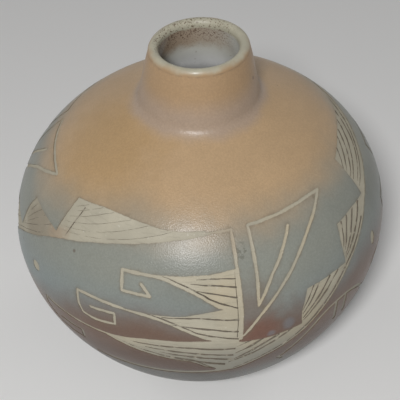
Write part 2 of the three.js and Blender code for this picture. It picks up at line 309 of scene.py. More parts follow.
class Form:
    """Outside of the vase in millimetres: a swelling body that flows into a tapered neck."""

    def __init__(self, sizes):
        self.sizes = sizes
        self.lip_height = sizes.height - sizes.lip_wall / 2
        self.heights = np.linspace(0, sizes.height, SECTION_SAMPLES)
        self.radii = self.radius(self.heights)
        self.slopes = np.gradient(self.radii, self.heights)
        steps = np.hypot(np.diff(self.radii), np.diff(self.heights))
        self.runs = np.concatenate(([0], np.cumsum(steps)))
        self.per_degree = math.radians(sizes.belly_radius - LAYOUT_INSET)

    def radius(self, heights):
        """Radius of the outside at each height."""
        s = self.sizes
        rise = heights - s.equator_height
        above = rise > 0
        reach = np.where(above, s.dome_rise, s.bowl_drop)
        power = np.where(above, s.dome_power, s.bowl_power)
        fall = np.minimum(np.abs(rise) / reach, 1)
        body = s.belly_radius * (1 - fall ** power) ** (1 / power)
        taper = (heights - s.neck_root_height) / (s.height - s.neck_root_height)
        neck = s.neck_root_radius + (s.neck_top_radius - s.neck_root_radius) * taper
        fillet = s.neck_fillet * eased(rise, 0, s.dome_rise / 2)
        excess = body - neck
        return np.where(above, neck + (excess + np.hypot(excess, fillet)) / 2, body)

    def inside_depth(self, heights):
        """Depth of the inner face of the clay under the outside."""
        s = self.sizes
        thinning = eased(heights, s.neck_root_height, self.lip_height)
        return WALL_ROOM + s.wall + (s.lip_wall - s.wall) * thinning

    def section(self, heights, depths):
        """Radius and height of points at a depth under the outside, square to it."""
        radii = np.interp(heights, self.heights, self.radii)
        slopes = np.interp(heights, self.heights, self.slopes)
        reach = np.hypot(1, slopes)
        return radii - depths / reach, heights + depths * slopes / reach

    def station(self, level, depth):
        """Height on the outside whose point at that depth lies at a level."""
        height = level
        for _ in range(STATION_TRIES):
            height += level - self.section(height, depth)[1]
        return float(height)

    def upright(self, turns, radii, levels):
        """Points in space from turn, radius and level, with the lean of the crown."""
        s = self.sizes
        angles = np.radians(turns)
        above = np.maximum(levels - s.equator_height, 0)
        lean = s.crown_lean * above / (s.height - s.equator_height)
        return np.column_stack((radii * np.sin(angles) + lean, -radii * np.cos(angles), levels))

    def wave(self, turns, heights):
        """Shallow hollows that the hands left in the wall."""
        a = np.radians(turns)
        broad = 1 + np.sin(2 * a + 1.1 + heights / 26)
        middle = 1 + np.sin(5 * a - heights / 15)
        small = 1 + np.sin(9 * a + 2 + heights / 9)
        return 0.09 * broad + 0.05 * middle + 0.025 * small

    def skin(self, turns, heights, depths):
        """Points at a depth under the wavy outside."""
        radii, levels = self.section(heights, depths + self.wave(turns, heights))
        return self.upright(turns, radii, levels)

    def flat(self, points):
        """Points of turn and height laid out flat, in millimetres."""
        turns, heights = np.asarray(points, float).T
        return np.column_stack((turns * self.per_degree, np.interp(heights, self.heights, self.runs)))

    def rolled(self, flat):
        """Turn and height of points on the flat layout."""
        return flat[:, 0] / self.per_degree, np.interp(flat[:, 1], self.runs, self.heights)

    def stretch(self, flat):
        """Real width of the wall over its width in the flat layout."""
        radii = np.interp(self.rolled(flat)[1], self.heights, self.radii)
        return np.radians(radii) / self.per_degree


def respaced(line, spacing):
    """The same run of points, evenly spaced."""
    lengths = np.concatenate(([0], np.cumsum(np.linalg.norm(np.diff(line, axis=0), axis=1))))
    marks = np.linspace(0, lengths[-1], max(round(lengths[-1] / spacing), 2) + 1)
    return np.column_stack([np.interp(marks, lengths, column) for column in line.T])


def smooth_run(points, spacing):
    """Evenly spaced points on a smooth curve through a few points."""
    points = np.asarray(points, float)
    padded = np.vstack((2 * points[0] - points[1], points, 2 * points[-1] - points[-2]))
    t = np.linspace(0, 1, 12, endpoint=False)[:, None]
    spans = []
    for a, b, c, d in zip(padded, padded[1:], padded[2:], padded[3:]):
        bend = (2 * a - 5 * b + 4 * c - d) * t ** 2 + (3 * b - a - 3 * c + d) * t ** 3
        spans.append(0.5 * (2 * b + (c - a) * t + bend))
    return respaced(np.vstack((*spans, points[-1:])), spacing)


def hand_wander(rng, line, reach):
    """Smooth random offsets along a stroke."""
    marks = np.arange(len(line)) * EDGE_STEP
    total = np.zeros(len(line))
    for length, share in ((11, 0.5), (4.3, 0.32), (1.9, 0.25)):
        total += share * np.sin(marks * 2 * math.pi / length + rng.uniform(0, 2 * math.pi))
    return reach * total


def directions(line, stretch):
    """Unit steps along and across a run of flat points, measured on the wall."""
    ahead = np.gradient(line, axis=0)
    ahead[:, 0] *= stretch
    ahead /= np.linalg.norm(ahead, axis=1)[:, None]
    return ahead, np.column_stack((-ahead[:, 1], ahead[:, 0]))


def scraped_line(form, pattern, rng, points, width):
    """Outline of one scraped line with round ends, on the flat layout."""
    roundness, end_share, growth, growth_reach = 0.62, 0.82, 0.18, 3
    line = smooth_run(form.flat(points), EDGE_STEP)
    stretch = form.stretch(line)
    ahead, across = directions(line, stretch)
    places = np.arange(len(line))
    ends = np.minimum(places, places[::-1]) * EDGE_STEP
    half = width / 2 * (end_share + growth * np.clip(ends / growth_reach, 0, 1))
    left = half + hand_wander(rng, line, pattern.wander)
    right = half + hand_wander(rng, line, pattern.wander)
    real = np.column_stack((stretch, np.ones(len(line))))

    def round_end(index, way):
        # way is 1 at the tip of the stroke and -1 at its tail
        nose = half[index]
        first, last = (left[index], -right[index])[::way]
        steps = (nose * roundness, first * roundness), (nose, 0), (nose * roundness, last * roundness)
        return [line[index] + (ahead[index] * along * way + across[index] * aside) / real[index]
                for along, aside in steps]

    left_side = line + across * left[:, None] / real
    right_side = line - across * right[:, None] / real
    return np.vstack((left_side, round_end(-1, 1), right_side[::-1], round_end(0, -1)))


def scraped_field(form, pattern, rng, edges):
    """Outline of a scraped field from its smooth edges, which run round it in order."""
    loop = []
    for edge in edges:
        line = smooth_run(form.flat(edge), EDGE_STEP)
        across = directions(line, form.stretch(line))[1]
        drift = hand_wander(rng, line, pattern.wander)
        drift[0] = drift[-1] = 0
        loop.append((line + across * drift[:, None])[:-1])
    return np.vstack(loop)


def scraped_spot(form, centre, size):
    """Outline of a round spot."""
    middle = form.flat([centre])
    angles = np.linspace(0, 2 * math.pi, 18, endpoint=False)
    ring = np.column_stack((np.cos(angles) * size[0] / form.stretch(middle), np.sin(angles) * size[1]))
    return middle + ring


def moved(points, turn):
    """Points of turn and height on a unit's place round the vase, with its own drop at the top."""
    drop_from, drop_over, middle, spread = 82, 9, 55, 26
    placed = []
    for angle, height in points:
        high = min(max((height - drop_from) / drop_over, 0), 1)
        drop = UNIT_DROPS[turn] * high * math.exp(-(((angle - middle) / spread) ** 2))
        placed.append((angle + turn, height - drop))
    return placed


def unit_outlines(form, pattern, rng, turn, next_turn):
    """Everything scraped away in one unit of the pattern, up to the next one."""
    # From the last step of this unit to the base line of the next
    top_line = [(turn + 116, 92.6), (turn + 121, 92.6), (next_turn + 9, 92.9)]
    outlines = [scraped_line(form, pattern, rng, top_line, pattern.line * TOP_LINE_WIDTH)]
    fields = [(w["high"], w["side"], w["low"][::-1], [w["low"][0], w["high"][0]]) for w in WEDGES.values()]
    fields.append((SWEEP, [SWEEP[-1], STEPS[0][0]], *STEPS))
    for edges in fields:
        outlines.append(scraped_field(form, pattern, rng, [moved(edge, turn) for edge in edges]))
    for name, strokes in FIGURES.items():
        width = pattern.line * LINE_WIDTHS.get(name, 1)
        outlines += [scraped_line(form, pattern, rng, moved(stroke, turn), width) for stroke in strokes]
    angle, height, *size = SPOTS[turn]
    outlines.append(scraped_spot(form, (angle + turn, height), size))
    return outlines


def wall_outlines(form, pattern, rng):
    """Every scraped outline on the flat layout, also where it runs over one of its sides."""
    half = 180 * form.per_degree
    outlines = []
    for turn, next_turn in zip(UNIT_TURNS, (*UNIT_TURNS[1:], UNIT_TURNS[0] + 360)):
        for loop in unit_outlines(form, pattern, rng, turn, next_turn):
            copies = [loop + (shift, 0) for shift in (-2 * half, 0, 2 * half)]
            outlines += [c for c in copies if c[:, 0].max() > -half and c[:, 0].min() < half]
    return outlines


def winding(points, loop):
    """How many times a loop runs round each point."""
    order = np.argsort(points[:, 1])
    across, up = points[order].T
    count = np.zeros(len(points), int)
    for (x0, y0), (x1, y1) in zip(loop, np.roll(loop, -1, axis=0)):
        if y0 == y1:
            continue
        low, high = np.searchsorted(up, sorted((y0, y1)))
        crossing = x0 + (up[low:high] - y0) * (x1 - x0) / (y1 - y0) > across[low:high]
        count[low:high] += np.where(crossing, 1 if y1 > y0 else -1, 0)
    result = np.empty_like(count)
    result[order] = count
    return result


def scraped(points, outlines):
    """Which flat points lie in scraped areas."""
    inside = np.zeros(len(points), bool)
    for loop in outlines:
        low, high = loop.min(axis=0), loop.max(axis=0)
        near = np.flatnonzero(np.all((points > low) & (points < high), axis=1))
        if len(near):
            inside[near] |= winding(points[near], loop) != 0
    return inside


def ragged_ring(form, height, reach, seed):
    """Uneven ring round the vase on the flat layout, from one side to the other."""
    turns = np.linspace(-180, 180, 361)
    rough = [
        noise.fractal(Vector((9 * math.cos(a), 9 * math.sin(a), seed)), 0.9, 2.2, 4)
        for a in np.radians(turns)
    ]
    return form.flat(np.column_stack((turns, height + reach * np.array(rough))))


def grid_points(rng, low, high, spacing):
    """Slightly shaken grid of offset rows."""
    row_spacing, shake = spacing * 0.87, 0.12
    rows = np.arange(low[1] + spacing / 2, high[1], row_spacing)
    columns = np.arange(low[0] + spacing / 2, high[0] - spacing / 2, spacing)
    across = columns[None, :] + np.where(np.arange(len(rows)) % 2, spacing / 2, 0)[:, None]
    up = np.repeat(rows[:, None], len(columns), axis=1)
    points = np.column_stack((across.ravel(), up.ravel()))
    points += rng.uniform(-shake, shake, points.shape) * spacing
    return points[(points[:, 0] > low[0] + spacing / 3) & (points[:, 0] < high[0] - spacing / 3)]


def distances(points, others):
    """Distance from each flat point to the nearest of the others."""
    tree = kdtree.KDTree(len(others))
    for index, (x, y) in enumerate(others.tolist()):
        tree.insert((x, y, 0), index)
    tree.balance()
    return np.array([tree.find((x, y, 0))[2] for x, y in points.tolist()])


def joined_sides(flat, faces, half):
    """The faces with every point on the right side of the layout replaced by its left twin."""
    sides = []
    for side in (half, -half):
        found = np.flatnonzero(np.abs(flat[:, 0] - side) < 1e-3)
        sides.append(found[np.argsort(flat[found, 1])])
    right, left = sides
    if len(left) != len(right) or np.abs(flat[left, 1] - flat[right, 1]).max() > 1e-2:
        raise RuntimeError("the two sides of the flat layout don't meet")
    joined = np.arange(len(flat))
    joined[right] = left
    return joined[faces]


def triangulated(border, links, inner):
    """Points and triangles of the flat layout, cut along every link of the border."""
    cloud = [Vector(point) for point in np.vstack((border, *inner)).tolist()]
    points, _, faces, *_ = geometry.delaunay_2d_cdt(cloud, links, [], 0, 1e-5, False)
    return np.array([tuple(p) for p in points]), np.array([f for f in faces if len(f) == 3])


@cache
def etched_wall():
    """The whole outside cut into triangles along every scraped edge and every seam."""
    sizes, pattern = settings("vase_sizes"), settings("vase_pattern")
    form = Form(sizes)
    rng = np.random.default_rng(pattern.seed)
    outlines = wall_outlines(form, pattern, rng)
    half = 180 * form.per_degree
    seams = (0, sizes.base, sizes.equator_height, sizes.neck_seam, form.lip_height)
    runs = form.flat([(0, height) for height in seams])[:, 1]
    top_run = runs[-1]
    coat_top = ragged_ring(form, pattern.coat_top, 0.12, 3.7)
    coat_foot = ragged_ring(form, pattern.coat_foot, 0.25, 8.1)

    seam_points, side_points = 281, 101
    level = np.linspace(-half, half, seam_points)
    upright = np.linspace(0, top_run, side_points)
    lines = [np.column_stack((level, np.full(seam_points, run))) for run in runs]
    lines += [np.column_stack((np.full(side_points, side), upright)) for side in (-half, half)]
    lines += [coat_top, coat_foot]
    first, links = 0, []
    for index, line in enumerate((*lines, *outlines)):
        count = len(line)
        links.extend((first + i, first + (i + 1) % count) for i in range(count - (index < len(lines))))
        first += count
    border = np.vstack((*lines, *outlines))

    coarse = grid_points(rng, (-half, 0), (half, top_run), COAT_STEP)
    fine = grid_points(rng, *form.flat([(-180, PATTERN_HEIGHTS[0]), (180, PATTERN_HEIGHTS[1])]), CLAY_STEP)
    coarse = coarse[~scraped(coarse, outlines)]
    fine = fine[scraped(fine, outlines)]
    inner = coarse[distances(coarse, border) > COAT_GAP], fine[distances(fine, border) > CLAY_GAP]

    flat, faces = triangulated(border, links, inner)
    centres = flat[faces].mean(axis=1)
    across, up = centres.T
    faces = joined_sides(flat, faces, half)
    whole = (faces != np.roll(faces, 1, axis=1)).all(axis=1)
    kept = whole & (np.abs(across) < half) & (up > 0) & (up < top_run)
    bare = scraped(centres, outlines)
    bare |= (up > np.interp(across, *coat_top.T)) | (up < np.interp(across, *coat_foot.T))
    turns, heights = form.rolled(flat)
    return SimpleNamespace(
        form=form, sizes=sizes, pattern=pattern, flat=flat, turns=turns, heights=heights,
        faces=faces[kept], bare=bare[kept], face_heights=form.rolled(centres)[1][kept])


def linked(name, data):
    """New object in the scene."""
    obj = bpy.data.objects.new(name, data)
    bpy.context.scene.collection.objects.link(obj)
    return obj


def set_attribute(mesh, name, values):
    """Stores one number for each point of a mesh."""
    attribute = mesh.attributes.new(name, "FLOAT", "POINT")
    attribute.data.foreach_set("value", np.asarray(values, np.float32))


def plain_mesh(name, points, edges, faces):
    """Mesh of points in millimetres."""
    mesh = bpy.data.meshes.new(name)
    mesh.from_pydata((np.asarray(points) * MM).tolist(), edges, faces)
    mesh.update()
    return mesh


def finished(name, mesh, material, sharp):
    """Object of a closed mesh, its faces made to point outwards and its crisp edges kept."""
    bm = bmesh.new()
    bm.from_mesh(mesh)
    bmesh.ops.delete(bm, geom=[v for v in bm.verts if not v.link_faces], context="VERTS")
    bmesh.ops.recalc_face_normals(bm, faces=bm.faces)
    if bm.calc_volume(signed=True) < 0:
        bmesh.ops.reverse_faces(bm, faces=bm.faces)
    bm.to_mesh(mesh)
    bm.free()
    mesh.shade_smooth()
    mesh.set_sharp_from_angle(angle=math.radians(sharp))
    mesh.materials.clear()
    mesh.materials.append(material)
    return linked(name, mesh)


def border_edges(faces):
    """Edges that only one of the faces has, as pairs of points in the face's order."""
    pairs = np.vstack((faces[:, [0, 1]], faces[:, [1, 2]], faces[:, [2, 0]]))
    _, index, count = np.unique(np.sort(pairs, axis=1), axis=0, return_index=True, return_counts=True)
    return pairs[index[count == 1]]


def zipped(first, second, turns):
    """Faces between two rings of points that are sorted by turn."""
    rings = [*first, first[0]], [*second, second[0]]
    angles = [[*(turns[point] for point in ring[:-1]), turns[ring[0]] + 360] for ring in rings]
    faces = []
    i = j = 0
    while i < len(first) or j < len(second):
        here, there = rings[0][i], rings[1][j]
        if j == len(second) or (i < len(first) and angles[0][i + 1] <= angles[1][j + 1]):
            i += 1
            faces.append((here, rings[0][i], there))
        else:
            j += 1
            faces.append((here, rings[1][j], there))
    return faces


class Pot:
    """Clay section in the making: scraped outside first, then rings that close it."""

    def __init__(self, low, high):
        wall = etched_wall()
        self.form = wall.form
        faces = wall.faces[(wall.face_heights > low) & (wall.face_heights < high)]
        used, local = np.unique(faces, return_inverse=True)
        local = local.reshape(-1, 3)
        points, beside = carved_clay()
        self.faces = local.tolist()
        self.turns = wall.turns[used].tolist()
        self.points = points[used].tolist()
        self.beside = beside[used].tolist()
        rim = sorted(np.unique(border_edges(local)).tolist(), key=self.turns.__getitem__)
        heights, middle = wall.heights[used], (low + high) / 2
        self.top = [i for i in rim if heights[i] > middle]
        self.bottom = [i for i in rim if heights[i] < middle]

    def ring(self, radius, level):
        """Adds a ring of points."""
        first = len(self.points)
        turns = np.linspace(-180, 180, RING_POINTS, endpoint=False)
        points = self.form.upright(turns, np.full(RING_POINTS, radius), np.full(RING_POINTS, level))
        self.points.extend(points.tolist())
        self.turns.extend(turns.tolist())
        return list(range(first, first + RING_POINTS))

    def join(self, *rings):
        """Closes the wall between each ring and the next."""
        for first, second in zip(rings, rings[1:]):
            self.faces.extend(zipped(first, second, self.turns))

    def cap(self, ring, level):
        """Closes a ring with a fan at a level."""
        centre = len(self.points)
        self.points.extend(self.form.upright(np.zeros(1), np.zeros(1), np.full(1, level)).tolist())
        self.turns.append(0)
        self.faces.extend((a, b, centre) for a, b in zip(ring, (*ring[1:], ring[0])))

    def inside(self, high, low, steps):
        """Adds the inner face of the wall as rings, from high to low."""
        heights = np.linspace(high, low, steps)
        radii, levels = self.form.section(heights, self.form.inside_depth(heights))
        return [self.ring(r, z) for r, z in zip(radii, levels)]

    def finish(self, name, material, node, **numbers):
        """Makes the piece, with how near its outside is to the coat and other numbers of its points."""
        obj = finished(name, plain_mesh(name, self.points, [], self.faces), material, 35)
        numbers["beside_coat"] = self.beside + [0] * (len(self.points) - len(self.beside))
        for key, values in numbers.items():
            set_attribute(obj.data, key, values)
        ride_and_name(obj, "fired_clay", node)


@cache
def carved_clay():
    """Points of the clay under the coat, carved where the coat is scraped away, and how
    near each open one is to the coat."""
    coat_gap, neck_from, foot_to, ramp_reach, edge_shade_reach = 0.02, 100, 30, 0.7, 0.5
    unit_from, steps_from, level_slant, steps_slant = -58, 8, 0.12, -0.75
    wall = etched_wall()
    pattern = wall.pattern
    covered = np.unique(wall.faces[~wall.bare])
    depths = np.full(len(wall.flat), pattern.coat + coat_gap)
    bare = np.setdiff1d(np.unique(wall.faces[wall.bare]), covered)
    bare = bare[wall.heights[bare] < neck_from]
    away = distances(wall.flat[bare], wall.flat[covered[wall.heights[covered] > foot_to]])
    marks = []
    for (x, y), turn in zip(wall.flat[bare].tolist(), wall.turns[bare].tolist()):
        turns = [(turn - unit_turn + 180) % 360 - 180 for unit_turn in UNIT_TURNS]
        own_turn = min(turns, key=lambda a: (a < unit_from, abs(a)))
        slant = level_slant if own_turn < steps_from else steps_slant
        along = x * math.cos(slant) - y * math.sin(slant)
        across = x * math.sin(slant) + y * math.cos(slant)
        streak = noise.noise(Vector((along * 0.09, across * 1.1, 2.3)))
        grain = noise.noise(Vector((x * 0.9, y * 0.9, 9.1)))
        marks.append(0.08 * streak + 0.035 * grain)
    depths[bare] += np.clip(away / ramp_reach, 0, 1) * (pattern.carving + np.array(marks))
    # Nearness to the coat, for the painted shade that the clay material lays along the coat's edges
    beside = np.ones(len(wall.flat))
    beside[bare] = np.clip(1 - away / edge_shade_reach, 0, 1)
    return wall.form.skin(wall.turns, wall.heights, depths), beside


class Wire:
    """Output of a node, whose sums and products are made by more nodes."""

    def __init__(self, recipe, socket):
        self.recipe = recipe
        self.socket = socket

    def __add__(self, other):
        return self.recipe.math("ADD", self, other)

    def __sub__(self, other):
        return self.recipe.math("SUBTRACT", self, other)

    def __mul__(self, other):
        return self.recipe.math("MULTIPLY", self, other)

    def band(self, low, high, start=0.0, end=1.0, curve="SMOOTHSTEP"):
        """Step from one value to another as the output goes from one level to another."""
        inputs = {"Value": self, "From Min": low, "From Max": high, "To Min": start, "To Max": end}
        return self.recipe.node("ShaderNodeMapRange", inputs, interpolation_type=curve)


class Recipe:
    """Adds nodes to a tree, each from its kind, its inputs and its settings."""

    def __init__(self, tree):
        self.tree = tree

    def plug(self, socket, value):
        """Links an input to another node, or sets it."""
        if isinstance(value, Wire):
            self.tree.links.new(value.socket, socket)
        else:
            socket.default_value = value

    def node(self, kind, inputs=None, output=0, **options):
        """One output of a new node."""
        made = self.tree.nodes.new(kind)
        for name, value in options.items():
            setattr(made, name, value)
        for key, value in (inputs or {}).items():
            self.plug(made.inputs[key], value)
        return Wire(self, made.outputs[output])

    def math(self, operation, first, second):
        """Result of a sum."""
        return self.node("ShaderNodeMath", {0: first, 1: second}, operation=operation)

    def mix(self, share, first, second):
        """Mixture of two colours."""
        made = self.node("ShaderNodeMix", {"Factor": share}, data_type="RGBA").socket.node
        sockets = [s for s in made.inputs if s.type == "RGBA"]
        for socket, colour in zip(sockets, (first, second)):
            self.plug(socket, (*colour, 1) if isinstance(colour, tuple) else colour)
        return Wire(self, next(s for s in made.outputs if s.type == "RGBA"))

    def seen(self):
        """1 for rays that show the backdrop and 0 for those that only light the vase."""
        camera, glossy, through = (
            self.node("ShaderNodeLightPath", output=f"Is {kind} Ray")
            for kind in ("Camera", "Glossy", "Transmission"))
        return self.math("MAXIMUM", camera, self.math("MAXIMUM", glossy, through))


class MaterialRecipe(Recipe):
    """Builds a material round one shader."""

    def __init__(self, name):
        self.material = bpy.data.materials.new(name)
        self.material.use_nodes = True
        super().__init__(self.material.node_tree)
        self.tree.nodes.clear()
        output = self.tree.nodes.new("ShaderNodeOutputMaterial")
        self.shader = self.tree.nodes.new("ShaderNodeBsdfPrincipled")
        self.tree.links.new(self.shader.outputs["BSDF"], output.inputs["Surface"])
        self.place = self.node("ShaderNodeTexCoord", output="Object")

    def axis(self, name):
        """One of the three coordinates."""
        return self.node("ShaderNodeSeparateXYZ", {"Vector": self.place}, name)

    def attribute(self, name):
        """Number that the piece's points carry."""
        return self.node("ShaderNodeAttribute", output="Fac", attribute_name=name)

    def noise(self, scale, detail=2.0, roughness=0.5, **mapping):
        """Cloudy noise between 0 and 1, at cells of 1 / scale metres."""
        place = self.place
        if mapping:
            place = self.node("ShaderNodeMapping", {"Vector": place, **mapping})
        inputs = {"Vector": place, "Scale": scale, "Detail": detail, "Roughness": roughness}
        return self.node("ShaderNodeTexNoise", inputs)

    def drift(self, scale, reach, detail=2.0, roughness=0.5):
        """Noise that goes as far below 0 as above it."""
        return (self.noise(scale, detail, roughness) - 0.5) * reach

    def near(self, turn, height, reach, rough):
        """1 at a place on the outside and 0 beyond its reach in metres, with a rough border."""
        centre = etched_wall().form.skin(np.array([turn]), np.array([height]), np.zeros(1))[0] * MM
        inputs = {0: self.place, 1: centre.tolist()}
        away = self.node("ShaderNodeVectorMath", inputs, "Value", operation="DISTANCE")
        return (away + self.drift(210, rough, 3)).band(reach, reach * 0.25)

    def back_of_mouth(self):
        """1 at the back of the mouth, a little to the left, and 0 at its front."""
        back = self.axis("Y") * 0.89 + (self.axis("X") - 0.0034) * -0.45
        return back.band(-0.003, 0.008)

    def painted(self, colour, *layers):
        """A colour under layers of paint, each given by its share and its own colour."""
        for share, paint in layers:
            colour = self.mix(share, colour, paint)
        return colour

    def bump(self, height, strength, distance, **below):
        """Normal from a height."""
        inputs = {"Height": height, "Strength": strength, "Distance": distance, **below}
        return self.node("ShaderNodeBump", inputs)

    def finish(self, inputs):
        """Sets the shader and gives the material."""
        for name, value in inputs.items():
            self.plug(self.shader.inputs[name], value)
        return self.material


def scaled(colour, *shares):
    """A darker, lighter or shifted version of a colour."""
    return tuple((np.array(colour) * shares).tolist())


def neck_tan(tan):
    """The browner tan of the neck."""
    return scaled(tan, 0.78, 0.75, 0.725)


def coat_material():
    """Sprayed coats that fade into each other round the vase, with a satin grain."""
    smudge, soot = (0.19, 0.2, 0.215), (0.1, 0.1, 0.072)
    speck, wear_and_edge_shade = (0.1, 0.062, 0.042), (0.17, 0.135, 0.09)
    c = settings("vase_colours")
    r = MaterialRecipe("sprayed_coats")
    height = r.axis("Z")
    puffs = r.drift(75, 0.007, 4, 0.6)
    level = height + r.drift(16, 0.022) + puffs
    brown_level = level - r.axis("X").band(-0.066, -0.035, -0.012, 0)
    collar_level = height + puffs * 0.5
    collar = collar_level.band(0.1068, 0.1095) * collar_level.band(0.1225, 0.113)

    tan = r.mix(r.noise(38, 3, roughness=0.55).band(0.3, 0.75), scaled(c.tan, 0.92), c.tan)
    tan = r.mix(r.near(-64, 102, 0.032, 0.02) * 0.8, tan, scaled(c.tan, 0.84, 0.8, 0.68))
    olive = r.mix(r.noise(22, Location=(0.3, 0, 0)).band(0.35, 0.7), c.green, scaled(c.green, 0.8))
    green = r.mix(level.band(0.06, 0.082), scaled(c.green, 0.86, 0.97, 1.1), olive)
    brown = r.mix(level.band(0.056, 0.043), c.brown, scaled(c.brown, 0.6, 0.54, 0.48))
    colour = r.painted(
        green, (level.band(0.083, 0.1), tan),
        *((r.near(12 + turn, 65, 0.021, 0.016) * 0.55, c.brown) for turn in UNIT_TURNS),
        (brown_level.band(0.0735, 0.0585), brown),
        (level.band(0.042, 0.033), r.mix(level.band(0.018, 0.034), scaled(c.grey, 0.75), c.grey)),
        (height.band(0.11, 0.12) * 0.9, neck_tan(c.tan)),
        (collar * 0.85, scaled(c.tan, 0.76, 0.84, 1.12)))
    for turn in UNIT_TURNS:
        sooty = r.near(11 + turn, 87.5, 0.0052, 0.004) * r.noise(620).band(0.53, 0.62, 0, 0.6)
        colour = r.painted(
            colour, (r.near(15 + turn, 59.5, 0.0105, 0.006) * 0.8, c.rust),
            (r.near(18 + turn, 58.3, 0.0022, 0.0035) * 0.6, smudge),
            (r.near(23 + turn, 60.4, 0.0032, 0.0035) * 0.6, smudge), (sooty, soot))

    lightness = r.noise(1500).band(0.3, 0.75, -1, 1) * 0.055 + r.noise(260, 3) * 0.1 + 0.95
    colour = r.node("ShaderNodeHueSaturation", {"Color": colour, "Value": lightness})
    cells = r.node("ShaderNodeTexVoronoi", {"Vector": r.place, "Scale": 95, "Randomness": 1}, "Color")
    lucky = r.node("ShaderNodeSeparateColor", {"Color": cells})
    away = Wire(r, cells.socket.node.outputs["Distance"])
    # Painted shade, mixed with some wear, on the coat's rim and cut walls: the thin dark line along a
    # scraped edge
    wear_and_rim_shade = r.attribute("rim")
    lip_level = height + r.drift(170, 0.003, 3)
    colour = r.painted(
        colour, ((lucky.band(0.8, 1) * 0.085 - away).band(-0.01, 0.02) * 0.6, speck),
        (wear_and_rim_shade * wear_and_rim_shade * r.noise(420).band(0.35, 0.65, 0.15, 0.5), wear_and_edge_shade),
        (lip_level.band(0.1284, 0.1307), c.worn_lip))
    pores = r.bump(r.noise(2100, roughness=0.6), 0.8, 0.0001)
    return r.finish({
        "Base Color": colour, "Specular IOR Level": 0.36,
        "Roughness": r.noise(60, 3).band(0.3, 0.7, 0.26, 0.32) + r.noise(1350, roughness=0.6) * 0.08,
        "Normal": r.bump(r.noise(240), 0.09, 0.0004, Normal=pores)})


def clay_material(name, lip):
    """Dry scraped clay with fine drag marks, and a worn lip where the piece has one."""
    painted_glint, edge_shade, speck = (0.66, 0.64, 0.56), (0.17, 0.135, 0.1), (0.13, 0.085, 0.055)
    stains = [(turn + 8.6, 91, 0.009, 0.45, (0.38, 0.29, 0.2)) for turn in UNIT_TURNS]
    stains.append((-64, 79, 0.0155, 0.75, (0.24, 0.205, 0.155)))
    stains.append((-53.5, 80.3, 0.0085, 0.5, (0.36, 0.255, 0.17)))
    c = settings("vase_colours")
    r = MaterialRecipe(name)
    height = r.axis("Z")
    drag = r.noise(900, 3, 0.65, Scale=(0.12, 0.12, 1.6))
    grit = r.noise(2600)
    colour = r.painted(
        scaled(c.clay, 0.84), (r.noise(55, 4, roughness=0.6).band(0.35, 0.7), c.clay),
        (r.noise(30, Location=(0.2, 0.1, 0)).band(0.5, 0.75), scaled(c.clay, 1.04, 0.97, 0.87)),
        (height.band(0.06, 0.046, 0, 0.8), scaled(c.clay, 0.62, 0.65, 0.71)),
        *((r.near(turn, z, reach, 0.008) * share, stain) for turn, z, reach, share, stain in stains),
        (drag.band(0.52, 0.7, 0, 0.3), scaled(c.clay, 0.55)),
        (grit.band(0.62, 0.75, 0, 0.3), scaled(c.clay, 0.6)),
        # Pale flecks painted on as glints of the clay
        (r.noise(1100, Location=(0, 0.3, 0.2)).band(0.66, 0.78, 0, 0.35), painted_glint),
        # Painted shade on the clay along the coat's edges, where the coat's cut edge throws a thin shadow
        (r.attribute("beside_coat").band(0.35, 1) * r.noise(480, 3).band(0.35, 0.65, 0.15, 0.7), edge_shade))
    if lip:
        outer = r.attribute("outer")
        inner_back = r.math("SUBTRACT", 1, outer) * r.back_of_mouth()
        wear_and_edge_shade = r.painted(
            scaled(c.worn_lip, 0.9), (r.noise(190, 3).band(0.35, 0.65), c.worn_lip),
            (r.noise(320, 3, Location=(0, 0.4, 0)).band(0.55, 0.7, 0, 0.5), scaled(c.clay, 0.85)))
        lip_level = height + r.drift(170, 0.003, 3)
        colour = r.painted(
            colour, (height.band(0.115, 0.12), wear_and_edge_shade),
            (lip_level.band(0.1307, 0.1284) * outer, neck_tan(c.tan)),
            (inner_back * r.noise(1900).band(0.56, 0.62, 0, 0.85), speck))
    shine = 0.3 if lip else 0.62
    lines = r.bump(drag, 0.35, 0.00015)
    return r.finish({
        "Base Color": colour, "Specular IOR Level": 0.35,
        "Roughness": r.noise(300).band(0.3, 0.7, shine, shine + 0.16),
        "Normal": r.bump(grit, 0.3, 0.0001, Normal=lines)})


def ridge_material():
    """Dark coat left between two scrapes, rubbed pale here and there."""
    c = settings("vase_colours")
    r = MaterialRecipe("ridge_coat")
    colour = r.painted(
        scaled(c.ridge, 0.75), (r.noise(60), scaled(c.ridge, 1.35)),
        (r.noise(420, 3, Location=(0.5, 0, 0)).band(0.54, 0.66, 0, 0.75), scaled(c.clay, 0.75)))
    return r.finish({
        "Base Color": colour, "Specular IOR Level": 0.35,
        "Roughness": r.noise(900).band(0.3, 0.7, 0.45, 0.65),
        "Normal": r.bump(r.noise(1800), 0.3, 0.0001)})


